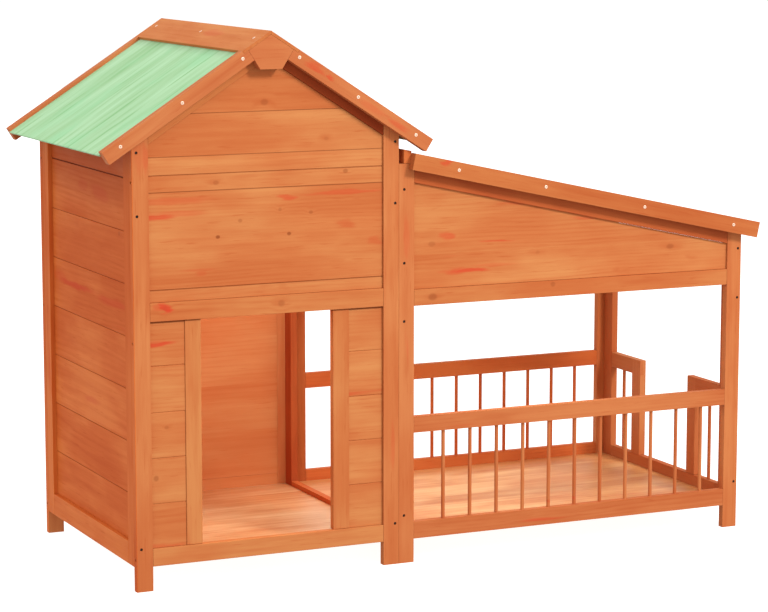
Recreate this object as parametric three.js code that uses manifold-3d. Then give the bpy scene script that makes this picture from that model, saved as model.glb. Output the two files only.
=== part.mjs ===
// Dog house with a covered run, in millimetres, +Z up.
// While it is built, x = 0 is the left face of the front left post, y = 0 is the
// front face of the front posts and z = 0 is the ground. The whole group is then
// moved so that the origin is the middle of the underside of the bounding box.
import * as THREE from 'three';
import { mergeVertices } from 'three/addons/utils/BufferGeometryUtils.js';
import Module from 'manifold-3d';

const wasm = await Module();
wasm.setup();

// ---------------------------------------------------------------- dimensions
const GAP = 0.3; // clearance between touching timbers
const STOCK_W = 35; // width of the post and rail stock
const STOCK_T = 16; // thickness of the post and rail stock
const DEPTH = 600; // front faces of the front posts to rear faces of the rear posts
const HOUSE_W = 589; // outer faces of the house posts
const RUN_X0 = 589.5; // left face of the run's left posts
const RUN_X1 = 1430; // right face of the run's right posts
const RAIL_Z0 = 51; // underside of the bottom rails
const RAIL_Z1 = 88; // top of the bottom rails
const FLOOR_Z = 62.5; // top of both floors
const FLOOR_T = 10; // floor boards
const BEARER = [35, 12]; // floor bearers, width and height
const BEARER_IN = 60; // bearers stop this far short of the rails
const BOARD_T = 7; // wall boards
const FRONT_RECESS = 5; // front boards behind the front plane
const DOOR_RECESS = 4; // door stiles behind the front plane
const SIDE_RECESS = 9; // side boards behind the side plane
const GROOVE_W = 2.4; // V groove between two boards
const GROOVE_D = 1.6;

// doorway
const HEADER_Z0 = 557;
const HEADER_Z1 = 595;
const DOOR_X0 = 145.5;
const DOOR_X1 = 439.5;
const DOOR_STILE_L = 111; // left edge of the left door stile
const DOOR_STILE_R = 476; // right edge of the right door stile
const DOOR_JOINTS = [180, 274.5, 369, 465];

// gable roof
const RIDGE_X = HOUSE_W / 2;
const RIDGE_Z = 1139;
const GABLE_TAN = 0.6408; // 32.65 degrees
const GABLE_HALF = 364; // half span at the top of the eave
const GABLE_BARGE = 30; // depth of the barge boards, square to the slope
// run roof
const RUN_TOP_X = 618.8; // upper end of the run barge boards
const RUN_TOP_Z = 877.5;
const RUN_TAN = 0.2196; // 12.39 degrees
const RUN_LENGTH = 867.1; // along the slope
const RUN_BARGE = 35;
// layers below the top line of the barge boards, square to the slope
const BARGE_T = 20;
const BARGE_OFF = 0.4; // barge boards stand this far off the post faces
const SHEET_T0 = 6.6;
const SHEET_T1 = 9.9;
const BATTEN_T1 = 22.9;
const BATTEN_W = 30;
const CUT_T = 23.2; // tops of posts and raking rails
const GABLE_RAKE_T1 = 47.5; // underside of the gable raking rails
const RUN_RAKE_T1 = 60.5; // underside of the run raking rail
const SHEET_OVER = 2.5; // sheet past the lower ends of the barge boards
const GABLE_BATTENS = [82.4, 237, 392.5]; // along the slope from the ridge
const RUN_BATTENS = [99.4, 311.3, 560.8, 793.4];
const CAP_W = 74; // ridge cap boards along the slope
const CAP_T = 6.3;
const APEX_S = 62.3; // apex block sides, along the slope from the ridge
const APEX_Z = 1061; // underside of the apex block

// run
const FASCIA_Z0 = 553;
const FASCIA_Z1 = 587.5;
const RAILING_Z0 = 281;
const RAILING_Z1 = 316;
const DOWEL_D = 8;
const DOWEL_X0 = 697.5;
const DOWEL_PITCH = 64;
const DOWELS = 11;
const LEFT_POST_Z = 855;
const LEDGER_X0 = 600.6; // board on edge on top of the run's left posts
const LEDGER_X1 = 618.4;
const LEDGER_ZL = 885; // bevelled top, left and right
const LEDGER_ZR = 881.2;
const END_STILE = 54; // end stiles, from the front plane
const GATE_Y0 = 193.5; // side entrance
const GATE_Y1 = 409;

const HOLE_D = 6.3; // screw counterbores in the posts
const HOLE_DEEP = 5;

// ------------------------------------------------------------------ materials
const wood = (hex) => new THREE.MeshStandardMaterial({ color: hex, roughness: 0.55, metalness: 0 });
const WOOD = 0xe0854d;
const WOOD_POST = 0xdc7d48;
const WOOD_WALL = 0xc8683f;
const WOOD_DARK = 0xb05a30;
const FLOOR = 0xf0a070;
const GREEN = 0xafdfa8;

// ------------------------------------------------------------------- geometry
const clean = (g) => {
  g.deleteAttribute('normal');
  if (g.getAttribute('uv')) g.deleteAttribute('uv');
  return mergeVertices(g, 1e-4);
};
const solid = (g) => {
  const m = clean(g);
  return new wasm.Manifold(new wasm.Mesh({
    numProp: 3,
    vertProperties: new Float32Array(m.getAttribute('position').array),
    triVerts: new Uint32Array(m.index.array),
  }));
};
const fromSolid = (s) => {
  const m = s.getMesh();
  const g = new THREE.BufferGeometry();
  const p = new Float32Array((m.vertProperties.length / m.numProp) * 3);
  for (let i = 0; i < p.length / 3; i++) for (let k = 0; k < 3; k++) p[3 * i + k] = m.vertProperties[i * m.numProp + k];
  g.setAttribute('position', new THREE.BufferAttribute(p, 3));
  g.setIndex(new THREE.BufferAttribute(new Uint32Array(m.triVerts), 1));
  return g;
};
const outline = (pts) => {
  const s = new THREE.Shape();
  const p = THREE.ShapeUtils.isClockWise(pts.map(([a, b]) => new THREE.Vector2(a, b))) ? [...pts].reverse() : pts;
  p.forEach(([a, b], i) => (i ? s.lineTo(a, b) : s.moveTo(a, b)));
  s.closePath();
  return s;
};
// outline in (x, z), from y0 to y1
const plateXZ = (pts, y0, y1) => new THREE.ExtrudeGeometry(outline(pts), { depth: y1 - y0, bevelEnabled: false })
  .rotateX(Math.PI / 2).translate(0, y1, 0);
// outline in (y, z), from x0 to x1
const plateYZ = (pts, x0, x1) => new THREE.ExtrudeGeometry(outline(pts), { depth: x1 - x0, bevelEnabled: false })
  .applyMatrix4(new THREE.Matrix4().makeBasis(new THREE.Vector3(0, 1, 0), new THREE.Vector3(0, 0, 1), new THREE.Vector3(1, 0, 0)))
  .translate(x0, 0, 0);
const box = (x0, x1, y0, y1, z0, z1) => new THREE.BoxGeometry(x1 - x0, y1 - y0, z1 - z0)
  .translate((x0 + x1) / 2, (y0 + y1) / 2, (z0 + z1) / 2);

const model = new THREE.Group();
const add = (name, geometry, colour, parent = model) => {
  // each piece is placed by its own position: its geometry is centred on itself
  geometry.computeBoundingBox();
  const c = geometry.boundingBox.getCenter(new THREE.Vector3());
  geometry.translate(-c.x, -c.y, -c.z);
  if (!geometry.getAttribute('normal')) geometry.computeVertexNormals();
  const mesh = new THREE.Mesh(geometry, wood(colour));
  mesh.name = name;
  mesh.position.copy(c);
  parent.add(mesh);
  return mesh;
};

// V grooves along one face of a profile: walks from a0 to a1 at depth f, and dips by dir
const grooved = (a0, a1, f, dir, joints) => {
  const pts = [[a0, f]];
  for (const j of [...joints].filter((v) => v > a0 + 4 && v < a1 - 4).sort((p, q) => p - q)) {
    pts.push([j - GROOVE_W / 2, f], [j, f + dir * GROOVE_D], [j + GROOVE_W / 2, f]);
  }
  pts.push([a1, f]);
  return pts;
};

// --------------------------------------------------------------- roof helpers
const gCos = 1 / Math.hypot(1, GABLE_TAN);
const gSin = GABLE_TAN * gCos;
const rCos = 1 / Math.hypot(1, RUN_TAN);
const rSin = RUN_TAN * rCos;
const gableLine = (x, t = 0) => RIDGE_Z - GABLE_TAN * Math.abs(x - RIDGE_X) - t / gCos;
const runLine = (x, t = 0) => RUN_TOP_Z - RUN_TAN * (x - RUN_TOP_X) - t / rCos;
const EAVE_S = GABLE_HALF / gCos;

// ------------------------------------------------------------- screw holes
const holeY = (x, z, yFace, inward) => new THREE.CylinderGeometry(HOLE_D / 2, HOLE_D / 2, HOLE_DEEP * 2, 14)
  .translate(x, yFace, z);
const bore = (geometry, cutters) => {
  let s = solid(geometry);
  for (const c of cutters) s = s.subtract(solid(c));
  return fromSolid(s);
};
const holesY = (list, yFace) => list.map(([x, z]) => holeY(x, z, yFace));
const holeX = (y, z, xFace) => new THREE.CylinderGeometry(HOLE_D / 2, HOLE_D / 2, HOLE_DEEP * 2, 14)
  .rotateZ(Math.PI / 2).translate(xFace, y, z);

// -------------------------------------------------------------------- the house
const Y_FRONT = [0, STOCK_T];
const Y_REAR = [DEPTH - STOCK_T, DEPTH];
const IN0 = STOCK_W + GAP; // between the house posts
const IN1 = HOUSE_W - STOCK_W - GAP;
const HOLES_L = [[10.1, 900.5], [10.1, 772.3], [10.1, 89.1]];
const HOLES_R = [[580.7, 902.1], [580.7, 773.3], [580.7, 88.7]];
const HOLES_SIDE = [840, 514, 66];

const postLeft = [[0, 0], [STOCK_W, 0], [STOCK_W, gableLine(STOCK_W, CUT_T)], [0, gableLine(0, CUT_T)]];
const postRight = postLeft.map(([x, z]) => [HOUSE_W - x, z]);
for (const [end, [y0, y1], face] of [['front', Y_FRONT, 0], ['rear', Y_REAR, DEPTH]]) {
  add(`house_post_${end}_left`, bore(plateXZ(postLeft, y0, y1),
    [...holesY(HOLES_L, face), ...HOLES_SIDE.map((z) => holeX((y0 + y1) / 2, z, 0))]), WOOD_POST);
  add(`house_post_${end}_right`, bore(plateXZ(postRight, y0, y1), holesY(HOLES_R, face)), WOOD_POST);
}

// front wall
add('front_bottom_rail', box(IN0, IN1, ...Y_FRONT, RAIL_Z0, RAIL_Z1), WOOD);
add('door_header', box(IN0, IN1, ...Y_FRONT, HEADER_Z0, HEADER_Z1), WOOD);
add('door_stile_left', box(DOOR_STILE_L, DOOR_X0, DOOR_RECESS, DOOR_RECESS + STOCK_T, RAIL_Z1 + GAP, HEADER_Z0 - GAP), WOOD);
add('door_stile_right', box(DOOR_X1, DOOR_STILE_R, DOOR_RECESS, DOOR_RECESS + STOCK_T, RAIL_Z1 + GAP, HEADER_Z0 - GAP), WOOD);
{
  // grooved boards on both sides of the doorway: profile in (y, z), along x
  const z0 = RAIL_Z1 + GAP;
  const z1 = HEADER_Z0 - GAP;
  const profile = [
    ...grooved(z0, z1, DOOR_RECESS + 2, 1, DOOR_JOINTS),
    [z1, STOCK_T], [z0, STOCK_T],
  ].map(([z, y]) => [y, z]);
  add('front_panel_left', plateYZ(profile, IN0, DOOR_STILE_L - GAP), WOOD);
  add('front_panel_right', plateYZ(profile, DOOR_STILE_R + GAP, IN1), WOOD);
}
{
  // boards above the header; those that meet the slope are cut to it
  const g = GAP / 2;
  const under = (x) => gableLine(x, GABLE_RAKE_T1 + GAP);
  const xAt = (z) => RIDGE_X - (RIDGE_Z - (GABLE_RAKE_T1 + GAP) / gCos - z) / GABLE_TAN;
  const boards = (z0, z1, joints) => plateYZ([
    ...grooved(z0, z1, FRONT_RECESS, 1, joints),
    [z1, STOCK_T], [z0, STOCK_T],
  ].map(([z, y]) => [y, z]), IN0, IN1);
  add('front_board_lower', boards(HEADER_Z1 + GAP, 818 - g, [620]), WOOD);
  add('front_board_middle', boards(818 + g, 889 - g, [852]), WOOD);
  const m = HOUSE_W;
  add('front_board_upper', plateXZ([[IN0, 889 + g], [IN1, 889 + g], [IN1, under(IN1)], [m - xAt(975 - g), 975 - g], [xAt(975 - g), 975 - g], [IN0, under(IN0)]],
    FRONT_RECESS, STOCK_T), WOOD);
  add('front_board_top', plateXZ([[xAt(975 + g), 975 + g], [m - xAt(975 + g), 975 + g], [RIDGE_X, under(RIDGE_X)]], FRONT_RECESS, STOCK_T), WOOD);
}
// raking rails of both gables, mitred under the ridge
{
  const rail = [[IN0, gableLine(IN0, CUT_T)], [RIDGE_X - GAP / 2, gableLine(RIDGE_X - GAP / 2, CUT_T)],
    [RIDGE_X - GAP / 2, gableLine(RIDGE_X - GAP / 2, GABLE_RAKE_T1)], [IN0, gableLine(IN0, GABLE_RAKE_T1)]];
  const mirror = rail.map(([x, z]) => [HOUSE_W - x, z]);
  for (const [end, [y0, y1]] of [['front', Y_FRONT], ['rear', Y_REAR]]) {
    add(`raking_rail_${end}_left`, plateXZ(rail, y0, y1), WOOD);
    add(`raking_rail_${end}_right`, plateXZ(mirror, y0, y1), WOOD);
  }
}
// left wall
const WALL_TOP = 922;
const WALL_JOINTS = [194.8, 303, 411.4, 519.7, 627.6, 735.3, 844.3];
const SIDE0 = STOCK_T + GAP; // between the front and rear posts
const SIDE1 = DEPTH - STOCK_T - GAP;
add('left_stile_front', box(0, STOCK_T, SIDE0, 52.6, 50, WALL_TOP), WOOD_WALL);
add('left_stile_rear', box(0, STOCK_T, 544.6, SIDE1, 50, WALL_TOP), WOOD_WALL);
add('left_bottom_rail', box(0, STOCK_T, 52.6 + GAP, 544.6 - GAP, 50, 97.5), WOOD_WALL);
add('left_boarding', plateXZ([
  ...grooved(97.5 + GAP, WALL_TOP, SIDE_RECESS, 1, WALL_JOINTS),
  [WALL_TOP, STOCK_T], [97.5 + GAP, STOCK_T],
].map(([z, x]) => [x, z]), 52.6 + GAP, 544.6 - GAP), WOOD_WALL);
// rear wall
add('rear_bottom_rail', box(IN0, IN1, ...Y_REAR, RAIL_Z0, RAIL_Z1), WOOD);
{
  const z0 = RAIL_Z1 + GAP;
  const joints = [...WALL_JOINTS, 952.5, 1060.7];
  const zTop = gableLine(RIDGE_X, GABLE_RAKE_T1 + GAP);
  const slab = plateYZ([
    ...grooved(z0, zTop + 1, DEPTH - FRONT_RECESS, -1, joints),
    [zTop + 1, DEPTH - STOCK_T], [z0, DEPTH - STOCK_T],
  ].map(([z, y]) => [y, z]), IN0, IN1);
  const under = gableLine(IN0, GABLE_RAKE_T1 + GAP);
  const cut = plateXZ([[IN0, z0], [IN1, z0], [IN1, under], [RIDGE_X, zTop], [IN0, under]], DEPTH - STOCK_T - 5, DEPTH + 5);
  add('rear_boarding', fromSolid(solid(slab).intersect(solid(cut))), WOOD_WALL);
}
// right wall with the passage to the run
const RW0 = HOUSE_W - STOCK_T;
add('right_stile_front', box(RW0, HOUSE_W, SIDE0, 51, 51, WALL_TOP), WOOD_DARK);
add('right_stile_rear', box(RW0, HOUSE_W, 549, SIDE1, 51, WALL_TOP), WOOD_DARK);
add('passage_sill', box(RW0, HOUSE_W, 51 + GAP, 549 - GAP, 51, 73), WOOD_DARK);
add('passage_header', box(RW0, HOUSE_W, 51 + GAP, 549 - GAP, HEADER_Z0, HEADER_Z1), WOOD_DARK);
add('right_boarding', plateXZ([
  [HEADER_Z1 + GAP, RW0], [WALL_TOP, RW0],
  ...grooved(HEADER_Z1 + GAP, WALL_TOP, HOUSE_W - SIDE_RECESS, -1, WALL_JOINTS).reverse(),
].map(([z, x]) => [x, z]), 51 + GAP, 549 - GAP), WOOD_DARK);

// a floor panel: one glued-up board with bearers under it, as one piece
const floorPanel = (x0, x1, y0, y1, bearers) => {
  let s = solid(box(x0, x1, y0, y1, FLOOR_Z - FLOOR_T, FLOOR_Z));
  for (const c of bearers) {
    s = s.add(solid(box(c - BEARER[0] / 2, c + BEARER[0] / 2, y0 + BEARER_IN, y1 - BEARER_IN, FLOOR_Z - FLOOR_T - BEARER[1], FLOOR_Z - FLOOR_T + 1)));
  }
  return fromSolid(s);
};
add('house_floor', floorPanel(STOCK_T + GAP, RW0 - GAP, SIDE0, SIDE1, [70, 294.5, 519]), FLOOR);

// ---------------------------------------------------------------------- the run
const RUN_L1 = RUN_X0 + STOCK_W; // right face of the run's left posts
const RUN_R0 = RUN_X1 - STOCK_W; // left face of the run's right posts
const RIN0 = RUN_L1 + GAP;
const RIN1 = RUN_R0 - GAP;
const HOLES_RL = [[601.7, 801], [601.7, 645.3], [601.7, 521.5], [601.7, 103.6]];
const HOLES_RR = [[1422.4, 632.7], [1422.4, 522.4], [1422.4, 103.3]];
for (const [end, [y0, y1], face] of [['front', Y_FRONT, 0], ['rear', Y_REAR, DEPTH]]) {
  add(`run_post_${end}_left`, bore(box(RUN_X0, RUN_L1, y0, y1, 0, LEFT_POST_Z), holesY(HOLES_RL, face)), WOOD_POST);
  add(`run_post_${end}_right`, bore(plateXZ([[RUN_R0, 0], [RUN_X1, 0], [RUN_X1, runLine(RUN_X1, CUT_T)], [RUN_R0, runLine(RUN_R0, CUT_T)]], y0, y1),
    holesY(HOLES_RR, face)), WOOD_POST);
}
add('run_ledger', plateXZ([[LEDGER_X0, LEFT_POST_Z + GAP], [LEDGER_X1, LEFT_POST_Z + GAP], [LEDGER_X1, LEDGER_ZR], [LEDGER_X0, LEDGER_ZL]], 0, DEPTH), WOOD_DARK);

// a railing in the (x, z) plane: two rails and round dowels let into them
const railing = (y0, y1) => {
  let s = solid(box(RIN0, RIN1, y0, y1, RAILING_Z0, RAILING_Z1)).add(solid(box(RIN0, RIN1, y0, y1, RAIL_Z0, RAIL_Z1)));
  for (let i = 0; i < DOWELS; i++) {
    s = s.add(solid(new THREE.CylinderGeometry(DOWEL_D / 2, DOWEL_D / 2, RAILING_Z0 - RAIL_Z1 + 16, 16).rotateX(Math.PI / 2)
      .translate(DOWEL_X0 + DOWEL_PITCH * i, (y0 + y1) / 2, (RAILING_Z0 + RAIL_Z1) / 2)));
  }
  return fromSolid(s);
};
add('run_railing_front', railing(...Y_FRONT), WOOD);
add('run_railing_rear', railing(...Y_REAR), WOOD);

// fascia between the run posts
const rake = [[RIN0, runLine(RIN0, CUT_T)], [RIN1, runLine(RIN1, CUT_T)], [RIN1, runLine(RIN1, RUN_RAKE_T1)], [RIN0, runLine(RIN0, RUN_RAKE_T1)]];
const fasciaBoard = [[RIN0, FASCIA_Z1 + GAP], [RIN1, FASCIA_Z1 + GAP], [RIN1, runLine(RIN1, RUN_RAKE_T1 + GAP)], [RIN0, runLine(RIN0, RUN_RAKE_T1 + GAP)]];
add('run_fascia_rail', box(RIN0, RIN1, ...Y_FRONT, FASCIA_Z0, FASCIA_Z1), WOOD);
add('run_fascia_board', plateXZ(fasciaBoard, FRONT_RECESS, STOCK_T), WOOD);
add('run_raking_rail', plateXZ(rake, ...Y_FRONT), WOOD);
{
  const wide = fasciaBoard.map(([x, z], i) => [x, i < 2 ? z - 2 : z + 2]);
  add('run_fascia_rear', fromSolid(solid(plateXZ(wide, DEPTH - STOCK_T, DEPTH - FRONT_RECESS))
    .add(solid(box(RIN0, RIN1, ...Y_REAR, FASCIA_Z0, FASCIA_Z1)))
    .add(solid(plateXZ(rake, ...Y_REAR)))), WOOD);
}

// right end of the run
const RE0 = RUN_X1 - STOCK_T;
const END_TOP = runLine(RUN_X1, CUT_T) - GAP;
add('run_end_stile_front', box(RE0, RUN_X1, SIDE0, END_STILE, RAIL_Z0, END_TOP), WOOD);
add('run_end_stile_rear', box(RE0, RUN_X1, DEPTH - END_STILE, SIDE1, RAIL_Z0, END_TOP), WOOD);
add('run_end_bottom_rail', box(RE0, RUN_X1, END_STILE + GAP, DEPTH - END_STILE - GAP, RAIL_Z0, RAIL_Z1), WOOD);
const halfRailing = (stile0, stile1, rail0, rail1, dowel) => {
  let s = solid(box(RE0, RUN_X1, stile0, stile1, RAIL_Z1 + GAP, RAILING_Z1));
  s = s.add(solid(box(RE0, RUN_X1, rail0, rail1, RAILING_Z0, RAILING_Z1)));
  s = s.add(solid(new THREE.CylinderGeometry(DOWEL_D / 2, DOWEL_D / 2, RAILING_Z0 - RAIL_Z1 - GAP + 8, 16).rotateX(Math.PI / 2)
    .translate((RE0 + RUN_X1) / 2, dowel, (RAILING_Z0 + RAIL_Z1 + GAP + 8) / 2)));
  return fromSolid(s);
};
add('run_end_railing_front', halfRailing(158, GATE_Y0, END_STILE + GAP, 160, 106), WOOD);
add('run_end_railing_rear', halfRailing(GATE_Y1, 447, 445, DEPTH - END_STILE - GAP, 497), WOOD);
add('run_floor', floorPanel(RUN_X0 + GAP, RE0 - GAP, SIDE0, SIDE1, [650, 900, 1150, 1390]), FLOOR);

// -------------------------------------------------------------------- the roofs
// In a slope's group x runs down the slope on the right side and up it on the
// left side, and z points out of the roof.
const slope = (side) => {
  const g = new THREE.Group();
  g.position.set(RIDGE_X, 0, RIDGE_Z);
  g.rotation.y = side === 'right' ? Math.atan(GABLE_TAN) : -Math.atan(GABLE_TAN);
  model.add(g);
  return { group: g, pts: (list) => list.map(([s, t]) => [side === 'right' ? s : -s, -t]) };
};
const mitre = (t) => (GAP / 2 + t * gSin) / gCos; // where depth t meets the plane of the ridge
const BY_FRONT = [-BARGE_OFF - BARGE_T, -BARGE_OFF];
const BY_REAR = [DEPTH + BARGE_OFF, DEPTH + BARGE_OFF + BARGE_T];
const PANEL_Y = [GAP - BARGE_OFF, DEPTH + BARGE_OFF - GAP];
const comb = (s0, s1, centres, top0) => {
  const pts = [[top0, SHEET_T0], [s1, SHEET_T0], [s1, SHEET_T1]];
  for (const c of [...centres].reverse()) {
    pts.push([c + BATTEN_W / 2, SHEET_T1], [c + BATTEN_W / 2, BATTEN_T1], [c - BATTEN_W / 2, BATTEN_T1], [c - BATTEN_W / 2, SHEET_T1]);
  }
  pts.push([s0, SHEET_T1]);
  return pts;
};
for (const side of ['left', 'right']) {
  const { group, pts } = slope(side);
  add(`gable_roof_panel_${side}`, plateXZ(pts(comb(mitre(SHEET_T1), EAVE_S + SHEET_OVER, GABLE_BATTENS, mitre(SHEET_T0))), ...PANEL_Y), GREEN, group);
  const barge = pts([[APEX_S + GAP, CAP_T + GAP], [CAP_W + GAP, CAP_T + GAP], [CAP_W + GAP, 0], [EAVE_S, 0], [EAVE_S, GABLE_BARGE], [APEX_S + GAP, GABLE_BARGE]]);
  add(`gable_barge_front_${side}`, plateXZ(barge, ...BY_FRONT), WOOD, group);
  add(`gable_barge_rear_${side}`, plateXZ(barge, ...BY_REAR), WOOD, group);
  add(`ridge_cap_${side}`, plateXZ(pts([[mitre(0), 0], [CAP_W, 0], [CAP_W, CAP_T], [mitre(CAP_T), CAP_T]]), BY_FRONT[0], BY_REAR[1]), WOOD, group);
}
{
  const t = CAP_T + GAP;
  const top = [RIDGE_X + APEX_S * gCos - t * gSin, RIDGE_Z - APEX_S * gSin - t * gCos];
  const tLow = (RIDGE_Z - APEX_Z - APEX_S * gSin) / gCos;
  const low = [RIDGE_X + APEX_S * gCos - tLow * gSin, APEX_Z];
  const flip = ([x, z]) => [HOUSE_W - x, z];
  const block = [flip(low), low, top, [RIDGE_X, RIDGE_Z - t / gCos], flip(top)];
  add('apex_block_front', plateXZ(block, ...BY_FRONT), WOOD);
  add('apex_block_rear', plateXZ(block, ...BY_REAR), WOOD);
}
{
  const group = new THREE.Group();
  group.position.set(RUN_TOP_X, 0, RUN_TOP_Z);
  group.rotation.y = Math.atan(RUN_TAN);
  model.add(group);
  const pts = (list) => list.map(([s, t]) => [s, -t]);
  const s0 = (t) => (LEDGER_X1 + 0.4 - RUN_TOP_X + t * rSin) / rCos; // the sheet butts the ledger
  add('run_roof_panel', plateXZ(pts(comb(s0(SHEET_T1), RUN_LENGTH + SHEET_OVER, RUN_BATTENS, s0(SHEET_T0))), ...PANEL_Y), GREEN, group);
  const barge = pts([[0, 0], [RUN_LENGTH, 0], [RUN_LENGTH, RUN_BARGE], [0, RUN_BARGE]]);
  add('run_barge_front', plateXZ(barge, ...BY_FRONT), WOOD, group);
  add('run_barge_rear', plateXZ(barge, ...BY_REAR), WOOD, group);
}

// the origin is the middle of the underside of the bounding box
const X_MIN = RIDGE_X - GABLE_HALF;
const X_MAX = RUN_TOP_X + (RUN_LENGTH + SHEET_OVER) * rCos - SHEET_T0 * rSin;
model.position.set(-(X_MIN + X_MAX) / 2, -DEPTH / 2, 0);
const object = new THREE.Group();
object.add(model);
object.updateMatrixWorld(true);
export default object;
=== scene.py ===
import math
import random

import bmesh
import bpy
from mathutils import Matrix, Vector


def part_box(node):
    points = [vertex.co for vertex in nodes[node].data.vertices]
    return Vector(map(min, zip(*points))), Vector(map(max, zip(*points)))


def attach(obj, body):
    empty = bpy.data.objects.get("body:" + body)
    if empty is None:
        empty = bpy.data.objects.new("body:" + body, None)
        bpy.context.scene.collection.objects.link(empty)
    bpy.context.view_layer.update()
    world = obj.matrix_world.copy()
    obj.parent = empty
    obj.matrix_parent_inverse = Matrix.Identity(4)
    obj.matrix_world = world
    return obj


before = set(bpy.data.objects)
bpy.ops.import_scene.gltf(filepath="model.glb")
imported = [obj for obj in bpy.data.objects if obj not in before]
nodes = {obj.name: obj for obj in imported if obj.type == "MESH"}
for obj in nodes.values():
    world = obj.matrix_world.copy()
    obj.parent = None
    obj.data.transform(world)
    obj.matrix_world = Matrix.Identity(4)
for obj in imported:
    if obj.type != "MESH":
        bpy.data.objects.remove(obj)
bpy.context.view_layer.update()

scene = bpy.context.scene

# ------------------------------------------------------------------ places
# The build frame: x = 0 at the left face of the front left post, y = 0 at the
# front plane of the posts, z = 0 on the ground, in millimetres.
X0, Y0 = 698.624, 300.0


def M(x, y, z):
    return Vector(((x - X0) / 1000, (y - Y0) / 1000, z / 1000))


RIDGE_X, RIDGE_Z, G_TAN = 294.5, 1139.0, 0.6408
RUN_TOP_X, RUN_TOP_Z, R_TAN = 618.8, 877.5, 0.2196
gA, rA = math.atan(G_TAN), math.atan(R_TAN)


def rgb(r, g, b):
    return tuple(((c / 255 + 0.055) / 1.055) ** 2.4 if c > 10 else c / 255 / 12.92 for c in (r, g, b)) + (1.0,)


# ---------------------------------------------------------------- node helper
class Tree:
    def __init__(self, tree):
        self.t = tree

    def node(self, kind, **props):
        n = self.t.nodes.new(kind)
        for k, v in props.items():
            setattr(n, k, v)
        return n

    def put(self, socket, value):
        if hasattr(value, "is_output"):
            self.t.links.new(value, socket)
        elif value is not None:
            socket.default_value = value

    def math(self, op, a, b=None, c=None, clamp=False):
        n = self.node("ShaderNodeMath", operation=op, use_clamp=clamp)
        for i, v in enumerate((a, b, c)):
            if v is not None:
                self.put(n.inputs[i], v)
        return n.outputs[0]

    def vmath(self, op, a, b=None, scale=None):
        n = self.node("ShaderNodeVectorMath", operation=op)
        self.put(n.inputs[0], a)
        if b is not None:
            self.put(n.inputs[1], b)
        if scale is not None:
            self.put(n.inputs["Scale"], scale)
        return n.outputs["Value"] if op in ("DOT_PRODUCT", "LENGTH", "DISTANCE") else n.outputs["Vector"]

    def xyz(self, x, y, z):
        n = self.node("ShaderNodeCombineXYZ")
        for i, v in enumerate((x, y, z)):
            self.put(n.inputs[i], v)
        return n.outputs[0]

    def split(self, v):
        n = self.node("ShaderNodeSeparateXYZ")
        self.put(n.inputs[0], v)
        return n.outputs

    def ramp(self, v, lo, hi, a=0.0, b=1.0, smooth=True):
        n = self.node("ShaderNodeMapRange", interpolation_type="SMOOTHSTEP" if smooth else "LINEAR")
        self.put(n.inputs["Value"], v)
        n.inputs["From Min"].default_value, n.inputs["From Max"].default_value = lo, hi
        n.inputs["To Min"].default_value, n.inputs["To Max"].default_value = a, b
        return n.outputs["Result"]

    def noise(self, v, scale=1.0, detail=2.0, rough=0.5, distortion=0.0):
        n = self.node("ShaderNodeTexNoise", noise_dimensions="3D")
        self.put(n.inputs["Vector"], v)
        n.inputs["Scale"].default_value = scale
        n.inputs["Detail"].default_value = detail
        n.inputs["Roughness"].default_value = rough
        n.inputs["Distortion"].default_value = distortion
        return n.outputs["Fac"]

    def mix(self, fac, a, b, blend="MIX"):
        n = self.node("ShaderNodeMix", data_type="RGBA", blend_type=blend)
        n.clamp_factor = True
        self.put(n.inputs["Factor"], fac)
        self.put(n.inputs[6], a)
        self.put(n.inputs[7], b)
        return n.outputs[2]

    def mixv(self, fac, a, b):
        n = self.node("ShaderNodeMix", data_type="VECTOR")
        self.put(n.inputs["Factor"], fac)
        self.put(n.inputs[4], a)
        self.put(n.inputs[5], b)
        return n.outputs[1]


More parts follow.
